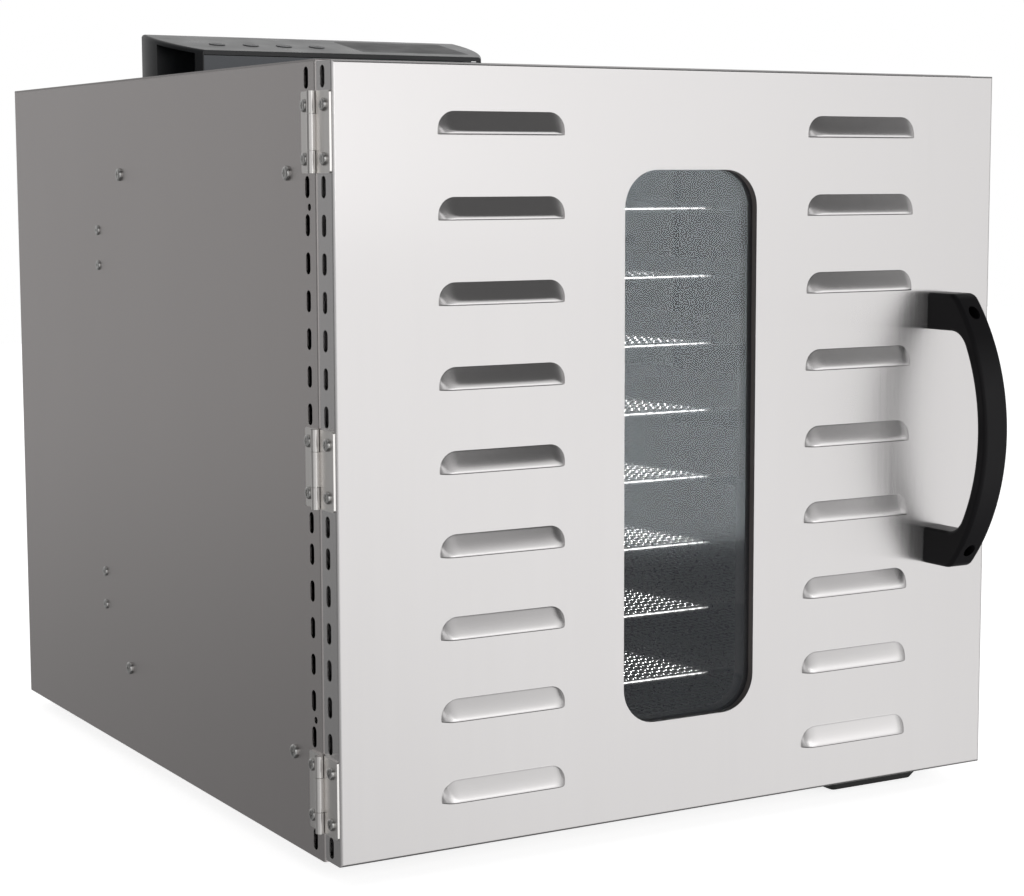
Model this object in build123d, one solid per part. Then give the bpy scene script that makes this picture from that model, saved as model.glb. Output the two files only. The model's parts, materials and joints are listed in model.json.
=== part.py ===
from build123d import *
from math import atan2, cos, degrees, pi, radians, sin
import os

# A cabinet food dehydrator: a steel case with ten lift-out trays, a louvred and
# windowed front door, a fan and heater behind the trays, and a sloped control
# housing on top. Millimetres. +X right, +Y to the back, +Z up. Z = 0 is the
# surface the feet stand on. X = 0 is the middle of the case.

os.makedirs("parts", exist_ok=True)

# ---------------------------------------------------------------- case
CASE_W = 460.0
CASE_D = 511.0
CASE_H = 442.2
FOOT_H = 10.0
SHEET = 1.0
FIT = 0.1
BEND_R = 1.6
RETURN_W = 10.0

# ---------------------------------------------------------------- door
DOOR_W = 460.0
DOOR_H = 440.0
DOOR_D = 18.6
DOOR_GAP = 2.0
DOOR_RISE = 2.0
DOOR_SHEET = 0.9

# ---------------------------------------------------------------- stations along Y and Z
FACE_Y = -238.5
DOOR_BACK_Y = FACE_Y + DOOR_D
FRONT_Y = DOOR_BACK_Y + DOOR_GAP
BACK_Y = FRONT_Y + CASE_D
BASE_Z = FOOT_H
SIDE_TOP_Z = BASE_Z + CASE_H
LID_T = 1.1
LID_TOP_Z = SIDE_TOP_Z + FIT + LID_T
DOOR_Z = BASE_Z + DOOR_RISE
DOOR_TOP_Z = DOOR_Z + DOOR_H
HALF_W = CASE_W / 2

# ---------------------------------------------------------------- louvres
LOUVRE_ROWS = 9
LOUVRE_PITCH = 46.7
LOUVRE_FIRST_Z = DOOR_Z + 27.6
LOUVRE_X = 126.0
LOUVRE_W = 80.5
LOUVRE_H = 12.6
LOUVRE_OUT = 5.2
LOUVRE_LIP = 3.6
LOUVRE_CORNER = 10.5
LOUVRE_TAPER = 38.0

# ---------------------------------------------------------------- window
WINDOW_W = 93.0
WINDOW_H = 325.0
WINDOW_X = 1.5
WINDOW_Z = DOOR_Z + 219.5
WINDOW_R = 22.0
GLASS_T = 3.0
GLASS_Y = FACE_Y + 4.6
GLASS_IN_GROOVE = 3.0
GASKET_W = 6.0

# ---------------------------------------------------------------- vent slots
SLOT_W = 5.5
SLOT_L = 12.0
SLOT_PITCH = 20.7
CASE_SLOT_Y = FRONT_Y + 11.4
DOOR_SLOT_Y = FACE_Y + 11.5
SLOT_UPPER_Z = DOOR_Z + 248.7
SLOT_UPPER_COUNT = 7
SLOT_LOWER_Z = DOOR_Z + 67.3
SLOT_LOWER_COUNT = 6
SLOT_LONE_ZS = (DOOR_Z + 8.5, DOOR_Z + 188.4, DOOR_Z + 431.7)
PILOT_R = 2.0
PILOT_ZS = (DOOR_Z + 77.3, DOOR_Z + 362.0)
PILOT_Y = FRONT_Y + 9.1

# ---------------------------------------------------------------- chamber mouth, seal, magnet
MOUTH_HALF = 206.0
MOUTH_Z0 = DOOR_Z + 12.0
MOUTH_Z1 = DOOR_Z + 428.0
SEAL_IN = 1.0
SEAL_W = 6.0
LID_LIP_H = 9.2
BASE_LIP_H = 9.0
MAGNET_X0 = 213.8
MAGNET_W = 5.6
MAGNET_H = 46.0
MAGNET_D = 14.0
STRIKE_T = 1.2

# ---------------------------------------------------------------- hinges
HINGE_ZS = (DOOR_Z + 37.4, DOOR_Z + 219.6, DOOR_Z + 402.3)
HINGE_H = 44.0
HINGE_MIDDLE = 19.6
KNUCKLE_R = 2.5
KNUCKLE_GAP = 0.3
PIN_R = 1.3
PIN_CLEARANCE = 0.06
LEAF_T = 1.2
AXIS_X = -HALF_W - KNUCKLE_R - 0.4
AXIS_Y = FRONT_Y - 0.6
LEAF_CASE_REACH = 16.4
LEAF_DOOR_REACH = 19.0
LEAF_GAP = 1.0
KNUCKLE_SWEEP = 0.35
HINGE_SCREW_Z = 14.4
HINGE_SCREW_OFFSET = 12.0
SCREW_HEAD_R = 3.6
SCREW_HEAD_T = 1.7
SCREW_R = 1.5

# ---------------------------------------------------------------- trays and racks
TRAY_COUNT = 10
TRAY_PITCH = 41.0
TRAY_FIRST_Z = DOOR_Z + 31.0
TRAY_W = 404.0
TRAY_FRONT_Y = FACE_Y + 40.0
TRAY_D = 310.0
TRAY_WIRE_R = 2.0
TRAY_MESH_T = 0.4
LEDGE_GAP = 0.3
LEDGE_IN_X = 196.0
RACK_X = 222.0
RACK_FRONT_Y = FACE_Y + 46.0
RACK_BACK_Y = FACE_Y + 336.0
RACK_SCREW_YS = (FACE_Y + 58.0, FACE_Y + 319.0)
RACK_SCREW_ZS = (DOOR_Z + 53.6, DOOR_Z + 380.5)
RACK_SCREW_HEAD_R = 4.2
STANDOFF_R = 5.0

# ---------------------------------------------------------------- baffle, fan, heater
BAFFLE_Y = FACE_Y + 354.5
BAFFLE_FLANGE = 15.5
RIVET_Y = FACE_Y + 362.5
RIVET_ZS = (DOOR_Z + 90.0, DOOR_Z + 112.7, DOOR_Z + 320.5, DOOR_Z + 343.8)
RIVET_HEAD_R = 3.3
RIVET_HEAD_T = 1.3
RIVET_R = 1.6
FAN_Z = DOOR_Z + 219.5
FAN_R = 75.0
FAN_Y = FACE_Y + 392.0
FAN_HUB_R = 14.0
FAN_HUB_L = 18.0
FAN_BLADES = 5
SHIELD_Y = FACE_Y + 436.0
SHAFT_R = 3.0
SHAFT_CLEARANCE = 0.06
MOTOR_R = 34.0
MOTOR_L = 46.0
MOTOR_Y = SHIELD_Y + 14.0
HEATER_R = 98.0
HEATER_TUBE_R = 3.5

# ---------------------------------------------------------------- probe, inlet, feet
SENSOR_X = 120.0
SENSOR_Z = FAN_Z + 120.0
INLET_X = -150.0
INLET_Z = BASE_Z + 55.0
INLET_W = 27.5
INLET_H = 20.0
FOOT_BOTTOM = (64.0, 20.0)
FOOT_TOP = (78.0, 30.0)
FOOT_X = 163.0
FOOT_NEAR_Y = FACE_Y + 36.0
FOOT_FAR_Y = FACE_Y + 490.0
FOOT_LEFT_SET_BACK = 26.0

# ---------------------------------------------------------------- control housing
HOUSING_FRONT_Y = FACE_Y + 452.3
HOUSING_D = 76.5
HOUSING_BACK_Y = HOUSING_FRONT_Y + HOUSING_D
HOUSING_FRONT_HALF = 115.0
HOUSING_BACK_HALF = 132.0
HOUSING_BULGE = 7.4
HOUSING_FRONT_Z = DOOR_Z + 470.2
HOUSING_BACK_Z = DOOR_Z + 485.2
HOUSING_WALL = 2.5
LIP_T = 3.2
POCKET_FRONT_Y = HOUSING_FRONT_Y + 6.0
POCKET_BACK_Y = FACE_Y + 498.0
POCKET_X = 103.0
SLOPE_DEG = degrees(atan2(HOUSING_BACK_Z - HOUSING_FRONT_Z, HOUSING_D))
KEY_XS = (-91.0, -64.0, -37.0, -10.0)
KEY_R = 6.0
KEY_GAP = 0.3
KEY_UP = 0.5
KEY_ALONG = 31.0
KEY_FLANGE_R = 7.6
KEY_DEEP = 5.4
KEY_FLANGE_T = 1.2
DISPLAY_X0 = 20.0
DISPLAY_X1 = 112.0
DISPLAY_FROM = 13.0
DISPLAY_TO = 66.0
DISPLAY_T = 1.1
BOARD_DEPTH = 9.5

# ---------------------------------------------------------------- handle
HANDLE_X = 180.0
HANDLE_W = 18.5
HANDLE_Z = DOOR_Z + 220.5
HANDLE_H = 171.0
HANDLE_OUT = 56.0
HANDLE_ARC_R = 130.5
HANDLE_T = 8.8
HANDLE_GRIP_H = 125.0
HANDLE_INNER_R = 16.0
HANDLE_OUTER_R = 9.0
HANDLE_RIM_R = 2.6
HANDLE_SCREW_DZ = 74.0


# ================================================================ helpers
def block(x0, x1, y0, y1, z0, z1):
    box = Box(x1 - x0, y1 - y0, z1 - z0, align=(Align.MIN, Align.MIN, Align.MIN))
    return Pos(x0, y0, z0) * box


def rod_x(x0, x1, y, z, radius):
    turned = Rot(0, 90, 0) * Cylinder(radius, x1 - x0)
    return Pos((x0 + x1) / 2, y, z) * turned


def rod_y(y0, y1, x, z, radius):
    turned = Rot(90, 0, 0) * Cylinder(radius, y1 - y0)
    return Pos(x, (y0 + y1) / 2, z) * turned


def rod_z(z0, z1, x, y, radius):
    return Pos(x, y, (z0 + z1) / 2) * Cylinder(radius, z1 - z0)


def joined(shapes):
    whole = shapes[0]
    for shape in shapes[1:]:
        whole = whole + shape
    return whole


def cut_all(shape, tools):
    return shape - joined(tools)


def upright_plate(width, height, radius, y0, y1, x=0.0, z=0.0):
    """A plate in the XZ plane with rounded corners, from y0 back to y1."""
    outline = RectangleRounded(width, height, radius)
    plate = extrude(Plane.XZ * outline, amount=y0 - y1)
    return Pos(x, y0, z) * plate


def side_slot(x0, x1, y, z):
    """A vertical slot with round ends that goes through along X."""
    outline = Plane.YZ * SlotOverall(SLOT_L, SLOT_W, rotation=90)
    return Pos(x0, y, z) * extrude(outline, amount=x1 - x0)


def slot_heights():
    upper = [SLOT_UPPER_Z + SLOT_PITCH * i for i in range(SLOT_UPPER_COUNT)]
    lower = [SLOT_LOWER_Z + SLOT_PITCH * i for i in range(SLOT_LOWER_COUNT)]
    return upper + lower + list(SLOT_LONE_ZS)


def tray_heights():
    return [TRAY_FIRST_Z + TRAY_PITCH * i for i in range(TRAY_COUNT)]


def pan_screw(head_r, head_t, shank_r, shank_l):
    """A cross-head pan screw on Z: its head's flat side at 0, its shank below."""
    head = Cylinder(head_r, head_t, align=(Align.CENTER, Align.CENTER, Align.MIN))
    head = fillet(head.edges().group_by(Axis.Z)[-1], head_t * 0.75)
    shank = Cylinder(shank_r, shank_l, align=(Align.CENTER, Align.CENTER, Align.MAX))
    arm = Box(head_r * 0.95, head_r * 0.22, head_t)
    cross = arm + Rot(0, 0, 90) * arm
    return head + shank - Pos(0, 0, head_t) * cross


def facing_left(shape):
    return Rot(0, -90, 0) * shape


def facing_right(shape):
    return Rot(0, 90, 0) * shape


def facing_front(shape):
    return Rot(90, 0, 0) * shape


def save(name, shape):
    export_step(shape, f"parts/{name}.step")


def save_group(name, solids):
    export_step(Compound(children=solids), f"parts/{name}.step")


# ================================================================ case shell
def side_panel():
    """The left side panel: a sheet with rounded folds to the front and back."""
    outer = block(-HALF_W, -HALF_W + RETURN_W, FRONT_Y, BACK_Y, BASE_Z, SIDE_TOP_Z)
    corners = outer.edges().filter_by(Axis.Z).sort_by(Axis.X)[0:2]
    outer = fillet(corners, BEND_R)
    inner = block(
        -HALF_W + SHEET,
        -HALF_W + RETURN_W + 1,
        FRONT_Y + SHEET,
        BACK_Y - SHEET,
        BASE_Z - 1,
        SIDE_TOP_Z + 1,
    )
    x0 = -HALF_W - 1
    x1 = -HALF_W + SHEET + 1
    tools = [side_slot(x0, x1, CASE_SLOT_Y, z) for z in slot_heights()]
    tools += [rod_x(x0, x1, PILOT_Y, z, PILOT_R) for z in PILOT_ZS]
    tools += [rod_x(x0, x1, y, z, 2.1) for y in RACK_SCREW_YS for z in RACK_SCREW_ZS]
    tools += [rod_x(x0, x1, RIVET_Y, z, RIVET_R + FIT) for z in RIVET_ZS]
    return cut_all(outer - inner, tools)


def hinge_holes():
    """Screw holes for the case leaves of the three hinges."""
    y = AXIS_Y + HINGE_SCREW_OFFSET
    zs = [z + s * HINGE_SCREW_Z for z in HINGE_ZS for s in (-1, 1)]
    return [rod_x(-HALF_W - 1, -HALF_W + 4, y, z, SCREW_R + FIT) for z in zs]


def lid():
    """The top sheet, with turned-down lips at the front and back."""
    x = HALF_W - 0.4
    sheet = block(-x, x, FRONT_Y, BACK_Y, SIDE_TOP_Z + FIT, LID_TOP_Z)
    lip_x = HALF_W - RETURN_W - FIT
    z0 = LID_TOP_Z - LID_LIP_H
    lip = block(-lip_x, lip_x, FRONT_Y, FRONT_Y + SHEET, z0, LID_TOP_Z)
    rear = block(-lip_x, lip_x, BACK_Y - SHEET, BACK_Y, z0, LID_TOP_Z)
    wire_hole = rod_z(SIDE_TOP_Z - 2, LID_TOP_Z + 2, 60.0, HOUSING_FRONT_Y + 40, 9.0)
    whole = sheet + lip + rear
    top_edges = whole.edges().filter_by(Axis.X).group_by(Axis.Z)[-1]
    return fillet(top_edges, 0.9) - wire_hole


def base():
    """The bottom sheet, with turned-up lips and foot screw holes."""
    x = HALF_W - SHEET - FIT
    y0 = FRONT_Y + SHEET + FIT
    y1 = BACK_Y - SHEET - FIT
    lip_x = HALF_W - RETURN_W - FIT
    z1 = BASE_Z + BASE_LIP_H
    sheet = block(-x, x, y0, y1, BASE_Z, BASE_Z + SHEET)
    front = block(-lip_x, lip_x, FRONT_Y, FRONT_Y + SHEET, BASE_Z, z1)
    front += block(-lip_x, lip_x, FRONT_Y, y0 + SHEET, BASE_Z, BASE_Z + SHEET)
    back = block(-x, x, y1 - SHEET, y1, BASE_Z, z1)
    holes = [rod_z(BASE_Z - 1, BASE_Z + 2, fx, fy, 2.1) for fx, fy in foot_places()]
    return cut_all(sheet + front + back, holes)


def front_frame():
    """The flat frame around the mouth of the drying chamber."""
    x = HALF_W - RETURN_W - FIT
    z0 = BASE_Z + BASE_LIP_H + FIT
    z1 = LID_TOP_Z - LID_LIP_H - FIT
    plate = block(-x, x, FRONT_Y, FRONT_Y + SHEET, z0, z1)
    mouth = block(-MOUTH_HALF, MOUTH_HALF, FRONT_Y - 1, FRONT_Y + 6, MOUTH_Z0, MOUTH_Z1)
    mouth = fillet(mouth.edges().filter_by(Axis.Y), 4.0)
    return plate - mouth - magnet_seat(FIT)


def magnet_seat(grow):
    return block(
        MAGNET_X0 - grow,
        MAGNET_X0 + MAGNET_W + grow,
        FRONT_Y - grow,
        FRONT_Y + MAGNET_D + grow,
        FAN_Z - MAGNET_H / 2 - grow,
        FAN_Z + MAGNET_H / 2 + grow,
    )


def rear_panel():
    """The back sheet: cooling slots behind the motor and the inlet's cut-out."""
    x = HALF_W - SHEET - FIT
    y1 = BACK_Y - SHEET - FIT
    z0 = BASE_Z + BASE_LIP_H + FIT
    plate = block(-x, x, y1 - SHEET, y1, z0, LID_TOP_Z - LID_LIP_H - FIT)
    tools = []
    for row in range(9):
        for column in range(7):
            slot = Plane.XZ * SlotOverall(24, 4.2)
            at = Pos((column - 3) * 30.0, y1 - 4, FAN_Z + (row - 4) * 13.0)
            tools.append(at * extrude(slot, amount=-8))
    tools.append(inlet_cutout(0.3))
    tools += [rod_y(y1 - 4, y1 + 4, x_, INLET_Z, 1.7) for x_ in inlet_screw_xs()]
    return cut_all(plate, tools)


# ================================================================ mains inlet
def inlet_cutout(grow):
    y1 = BACK_Y - SHEET - FIT
    w = INLET_W / 2 + grow
    h = INLET_H / 2 + grow
    return block(INLET_X - w, INLET_X + w, y1 - 20, y1 + 5, INLET_Z - h, INLET_Z + h)


def inlet_screw_xs():
    return (INLET_X - 20.0, INLET_X + 20.0)


def mains_inlet():
    """A three-pin appliance inlet: flange, body, socket well and pins."""
    y1 = BACK_Y - SHEET - FIT
    flange_outline = RectangleRounded(50.0, 24.0, 5.0)
    flange = Pos(INLET_X, y1, INLET_Z) * extrude(Plane.XZ * flange_outline, amount=-3.0)
    w = INLET_W / 2
    h = INLET_H / 2
    body = block(INLET_X - w, INLET_X + w, y1 - 19, y1 + 1, INLET_Z - h, INLET_Z + h)
    well = block(INLET_X - 12, INLET_X + 12, y1 - 14, y1 + 6, INLET_Z - 7.5, INLET_Z + 7.5)
    holes = [rod_y(y1 - 4, y1 + 6, x, INLET_Z, 1.7) for x in inlet_screw_xs()]
    shell = cut_all(flange + body, [well] + holes)
    pins = []
    for dx, dz in ((-7.0, -1.5), (0.0, 2.5), (7.0, -1.5)):
        x = INLET_X + dx
        z = INLET_Z + dz
        pins.append(block(x - 1, x + 1, y1 - 15, y1 - 3, z - 2, z + 2))
    return joined([shell] + pins)


def inlet_screws():
    y1 = BACK_Y - SHEET - FIT + 3.0
    screw = Rot(-90, 0, 0) * pan_screw(2.9, 1.5, 1.5, 8.0)
    return [Pos(x, y1, INLET_Z) * screw for x in inlet_screw_xs()]


# ================================================================ feet
def foot_places():
    """Front right, front left, rear right, rear left."""
    return (
        (FOOT_X, FOOT_NEAR_Y),
        (-FOOT_X, FOOT_NEAR_Y + FOOT_LEFT_SET_BACK),
        (FOOT_X, FOOT_FAR_Y),
        (-FOOT_X, FOOT_FAR_Y),
    )


def foot(x, y):
    """A long rubber foot that narrows downwards, with its screw hole."""
    lower = Plane.XY * RectangleRounded(*FOOT_BOTTOM, 3.0)
    upper = Plane.XY.offset(FOOT_H - FIT) * RectangleRounded(*FOOT_TOP, 4.0)
    body = loft([lower, upper])
    body = fillet(body.edges().group_by(Axis.Z)[0], 1.5)
    recess = Cylinder(5.0, 7.0, align=(Align.CENTER, Align.CENTER, Align.MIN))
    hole = Cylinder(2.1, 30.0)
    return Pos(x, y, 0) * (body - Pos(0, 0, -1) * recess - hole)


def foot_screws():
    screws = []
    for x, y in foot_places():
        screw = Rot(180, 0, 0) * pan_screw(4.0, 2.0, 2.0, 9.0)
        screws.append(Pos(x, y, 6.0) * screw)
    return screws


# ================================================================ tray racks
def rack():
    """The left rack: an upright sheet with ten folded ledges and four standoffs."""
    z0 = TRAY_FIRST_Z - 14
    z1 = TRAY_FIRST_Z + TRAY_PITCH * (TRAY_COUNT - 1) + 12
    pieces = [block(-RACK_X - SHEET, -RACK_X, RACK_FRONT_Y, RACK_BACK_Y, z0, z1)]
    for z in tray_heights():
        top = z - TRAY_WIRE_R - LEDGE_GAP
        pieces.append(
            block(-RACK_X - 0.5, -LEDGE_IN_X, RACK_FRONT_Y, RACK_BACK_Y, top - SHEET, top)
        )
    x0 = -HALF_W + SHEET
    spots = [(y, z) for y in RACK_SCREW_YS for z in RACK_SCREW_ZS]
    pieces += [rod_x(x0, -RACK_X, y, z, STANDOFF_R) for y, z in spots]
    bores = [rod_x(x0 - 1, -RACK_X + 1, y, z, 2.0) for y, z in spots]
    return cut_all(joined(pieces), bores)


def rack_screws():
    screw = facing_left(pan_screw(RACK_SCREW_HEAD_R, 2.0, 1.95, 8.5))
    spots = [(y, z) for y in RACK_SCREW_YS for z in RACK_SCREW_ZS]
    return [Pos(-HALF_W, y, z) * screw for y, z in spots]


def rivets():
    """Blind rivets through the left side panel and the baffle's flange."""
    head = Cylinder(RIVET_HEAD_R, RIVET_HEAD_T, align=(Align.CENTER, Align.CENTER, Align.MIN))
    head = fillet(head.edges().group_by(Axis.Z)[-1], RIVET_HEAD_T * 0.8)
    dimple = Pos(0, 0, RIVET_HEAD_T) * Cylinder(1.0, 0.9)
    shank = Cylinder(RIVET_R, 2.4, align=(Align.CENTER, Align.CENTER, Align.MAX))
    rivet = facing_left(head + shank - dimple)
    return [Pos(-HALF_W, RIVET_Y, z) * rivet for z in RIVET_ZS]


# ================================================================ trays
def tray(z):
    """A round-wire frame with two stiffening wires and a mesh sheet on top."""
    x = TRAY_W / 2 - TRAY_WIRE_R
    y0 = TRAY_FRONT_Y + TRAY_WIRE_R
    y1 = TRAY_FRONT_Y + TRAY_D - TRAY_WIRE_R
    pieces = [
        rod_x(-x, x, y0, z, TRAY_WIRE_R),
        rod_x(-x, x, y1, z, TRAY_WIRE_R),
        rod_y(y0, y1, -x, z, TRAY_WIRE_R),
        rod_y(y0, y1, x, z, TRAY_WIRE_R),
    ]
    pieces += [Pos(sx * x, y, z) * Sphere(TRAY_WIRE_R) for sx in (-1, 1) for y in (y0, y1)]
    mesh = block(-x, x, y0, y1, z + 0.2, z + 0.2 + TRAY_MESH_T)
    return joined(pieces + [mesh])


# ================================================================ baffle, fan and heater
def baffle():
    """The sheet between trays and fan: a ringed intake and outlet slots each side."""
    x = HALF_W - SHEET - FIT
    z0 = BASE_Z + SHEET + FIT
    z1 = SIDE_TOP_Z - 9
    plate = block(-x, x, BAFFLE_Y, BAFFLE_Y + SHEET, z0, z1)
    left = block(-x, -x + SHEET, BAFFLE_Y, BAFFLE_Y + BAFFLE_FLANGE, z0, z1)
    right = block(x - SHEET, x, BAFFLE_Y, BAFFLE_Y + BAFFLE_FLANGE, z0, z1)
    tools = []
    for ring in range(1, 6):
        radius = 13.0 * ring
        count = 6 * ring
        for i in range(count):
            turn = 2 * pi * i / count
            hx = radius * cos(turn)
            hz = FAN_Z + radius * sin(turn)
            tools.append(rod_y(BAFFLE_Y - 1, BAFFLE_Y + 2, hx, hz, 4.2))
    for row in range(12):
        for side in (-1, 1):
            slot = Plane.XZ * SlotOverall(60, 8)
            at = Pos(side * 165.0, BAFFLE_Y - 2, BASE_Z + 45 + row * 32.0)
            tools.append(at * extrude(slot, amount=-5))
    for z in RIVET_ZS:
        tools.append(rod_x(-x - 2, x + 2, RIVET_Y, z, RIVET_R + FIT))
    return cut_all(plate + left + right, tools)


def heat_shield():
    """The wall that carries the motor and keeps heat off the wiring behind it."""
    x = HALF_W - SHEET - FIT
    plate = block(-x, x, SHIELD_Y, SHIELD_Y + SHEET, BASE_Z + SHEET + FIT, SIDE_TOP_Z - 9)
    tools = [rod_y(SHIELD_Y - 1, SHIELD_Y + 2, 0, FAN_Z, 8.0)]
    tools += [rod_y(SHIELD_Y - 1, SHIELD_Y + 2, x_, z_, 2.1) for x_, z_ in motor_posts()]
    for x_, z_ in heater_ends():
        tools.append(rod_y(SHIELD_Y - 1, SHIELD_Y + 2, x_, z_, HEATER_TUBE_R + 1.0))
    tools.append(rod_y(SHIELD_Y - 1, SHIELD_Y + 2, SENSOR_X, SENSOR_Z, 3.1))
    return cut_all(plate, tools)


def motor_posts():
    return ((-42.0, FAN_Z - 26), (42.0, FAN_Z - 26), (-42.0, FAN_Z + 26), (42.0, FAN_Z + 26))


def motor_bracket():
    """A plate on four posts that holds the motor off the heat shield."""
    y0 = SHIELD_Y + SHEET
    plate = Pos(0, MOTOR_Y, FAN_Z) * extrude(
        Plane.XZ * RectangleRounded(104, 72, 8), amount=2.0
    )
    posts = [rod_y(y0, MOTOR_Y - 1, x, z, 4.5) for x, z in motor_posts()]
    bores = [rod_y(y0 - 1, MOTOR_Y + 1, x, z, 2.0) for x, z in motor_posts()]
    centre = rod_y(MOTOR_Y - 4, MOTOR_Y + 4, 0, FAN_Z, 12.0)
    return cut_all(joined([plate] + posts), bores + [centre])


def motor_screws():
    screw = Rot(90, 0, 0) * pan_screw(3.8, 2.0, 1.95, 9.0)
    return [Pos(x, SHIELD_Y, z) * screw for x, z in motor_posts()]


def motor():
    """The fan motor: a round can between two end bells, with a bearing nose."""
    y0 = MOTOR_Y
    can = rod_y(y0, y0 + MOTOR_L, 0, FAN_Z, MOTOR_R)
    can = fillet(can.edges().filter_by(GeomType.CIRCLE), 3.0)
    nose = rod_y(y0 - 6, y0 + 1, 0, FAN_Z, 9.0)
    stack = block(-30, 30, y0 + 12, y0 + 32, FAN_Z - 44, FAN_Z - 20)
    bore = rod_y(y0 - 8, y0 + MOTOR_L + 2, 0, FAN_Z, SHAFT_R + SHAFT_CLEARANCE)
    return can + nose + stack - bore


def fan_shaft():
    return rod_y(FAN_Y - FAN_HUB_L / 2, MOTOR_Y + MOTOR_L - 4, 0, FAN_Z, SHAFT_R)


def fan_blades():
    """A five-bladed fan: a hub bored for the shaft and pitched blades."""
    hub = rod_y(FAN_Y - FAN_HUB_L / 2, FAN_Y + FAN_HUB_L / 2, 0, FAN_Z, FAN_HUB_R)
    hub = fillet(hub.edges().filter_by(GeomType.CIRCLE), 1.5)
    pieces = [hub]
    for i in range(FAN_BLADES):
        outline = RectangleRounded(FAN_R - FAN_HUB_R + 6, 46, 12)
        blade = extrude(outline, amount=0.6, both=True)
        blade = Pos((FAN_R + FAN_HUB_R - 6) / 2, 0, 0) * Rot(62, 0, 0) * blade
        turn = Rot(0, 360.0 * i / FAN_BLADES, 0)
        pieces.append(Pos(0, FAN_Y, FAN_Z) * turn * blade)
    bore = rod_y(FAN_Y - 40, FAN_Y + 40, 0, FAN_Z, SHAFT_R)
    return joined(pieces) - bore


def heater_ends():
    return ((-9.0, FAN_Z - HEATER_R), (9.0, FAN_Z - HEATER_R))


def heater():
    """A sheathed heating tube: one turn around the fan and two legs to the back."""
    half = degrees(9.0 / HEATER_R)
    ring = CenterArc((0, 0), HEATER_R, -90 + half, 360 - 2 * half)
    path = Pos(0, FAN_Y, FAN_Z) * (Rot(90, 0, 0) * ring)
    start = path @ 0
    profile = Plane(origin=start, z_dir=path % 0) * Circle(HEATER_TUBE_R)
    tube = sweep(profile, path=path)
    legs = []
    for end, x in ((path @ 0, 9.0), (path @ 1, -9.0)):
        legs.append(Pos(end.X, end.Y, end.Z) * Sphere(HEATER_TUBE_R))
        legs.append(rod_y(FAN_Y, SHIELD_Y + 16, end.X, end.Z, HEATER_TUBE_R))
    return joined([tube] + legs)


def heater_clips():
    """Three clips that hold the heating tube to the heat shield."""
    clips = []
    for turn in (30, 150, 90):
        x = HEATER_R * cos(radians(turn))
        z = FAN_Z + HEATER_R * sin(radians(turn))
        post = block(x - 4, x + 4, FAN_Y, SHIELD_Y - FIT, z - 6, z + 6)
        ring = Pos(0, FAN_Y, FAN_Z) * (Rot(90, 0, 0) * Torus(HEATER_R, HEATER_TUBE_R + FIT))
        clips.append(post - ring)
    return clips


def sensor():
    """The air temperature probe, held in the heat shield."""
    probe = rod_y(SHIELD_Y - 46, SHIELD_Y + 10, SENSOR_X, SENSOR_Z, 3.0)
    collar = rod_y(SHIELD_Y + SHEET + FIT, SHIELD_Y + SHEET + 4, SENSOR_X, SENSOR_Z, 6.0)
    return probe + collar


# ================================================================ control housing
def housing_outline(inset):
    """The housing seen from above: a straight front, bowed ends, a straight back."""
    front = HOUSING_FRONT_HALF - inset
    back = HOUSING_BACK_HALF - inset
    y0 = HOUSING_FRONT_Y
    y1 = HOUSING_BACK_Y - inset
    middle = (front + back) / 2 + HOUSING_BULGE
    ym = (y0 + y1) / 2
    edges = [
        Line((-front, y0), (front, y0)),
        ThreePointArc((front, y0), (middle, ym), (back, y1)),
        Line((back, y1), (-back, y1)),
        ThreePointArc((-back, y1), (-middle, ym), (-front, y0)),
    ]
    return make_face(edges)


def slope_plane(depth=0.0):
    """The housing's sloped top face, or a plane parallel to it lower down."""
    top = Plane(
        origin=(0, HOUSING_FRONT_Y, HOUSING_FRONT_Z),
        x_dir=(1, 0, 0),
        z_dir=(0, -sin(radians(SLOPE_DEG)), cos(radians(SLOPE_DEG))),
    )
    return top.offset(-depth)


def above_slope(depth):
    slab = Box(400, 400, 200, align=(Align.CENTER, Align.CENTER, Align.MIN))
    return slope_plane(depth) * slab


def control_housing():
    """The black cover: sloped top, bowed ends with a side pocket, open front."""
    z0 = LID_TOP_Z + FIT
    solid = extrude(Plane.XY.offset(z0) * housing_outline(0), amount=60) - above_slope(0)
    rims = solid.edges().filter_by(lambda e: e.center().Z > HOUSING_FRONT_Z + 2)
    rims = [e for e in rims if abs(e.center().X) > 100 or e.center().Y > HOUSING_BACK_Y - 2]
    solid = fillet([e for e in rims if e.length > 60], 2.6)
    pocket = block(
        POCKET_X, 150, POCKET_FRONT_Y, POCKET_BACK_Y, z0 - 1, HOUSING_BACK_Z + 20
    ) - above_slope(LIP_T)
    pockets = pocket + mirror(pocket, about=Plane.YZ)
    wide = extrude(
        Plane.XY.offset(z0 - 1) * housing_outline(HOUSING_WALL), amount=60
    )
    wide = wide & block(-200, 200, POCKET_BACK_Y + HOUSING_WALL, 400, 0, 600)
    narrow_x = POCKET_X - HOUSING_WALL
    narrow = block(
        -narrow_x, narrow_x, HOUSING_FRONT_Y - 5, HOUSING_BACK_Y - 10, z0 - 1, 600
    )
    cavity = (wide + narrow) - above_slope(LIP_T)
    mouth = block(
        -HOUSING_FRONT_HALF + 0.8,
        HOUSING_FRONT_HALF - 0.8,
        HOUSING_FRONT_Y - 5,
        POCKET_FRONT_Y,
        z0 - 1,
        600,
    ) - above_slope(LIP_T)
    keys = [key_place(x) * Cylinder(KEY_R + KEY_GAP, 20) for x in KEY_XS]
    shell = cut_all(solid, [pockets, cavity, mouth])
    seat = display_shape(FIT, 1.0, DISPLAY_T)
    window = display_shape(-3.0, 1.0, 20.0)
    return cut_all(shell, keys + [seat, window])


def key_place(x):
    return slope_plane().location * Pos(x, KEY_ALONG, 0)


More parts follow.
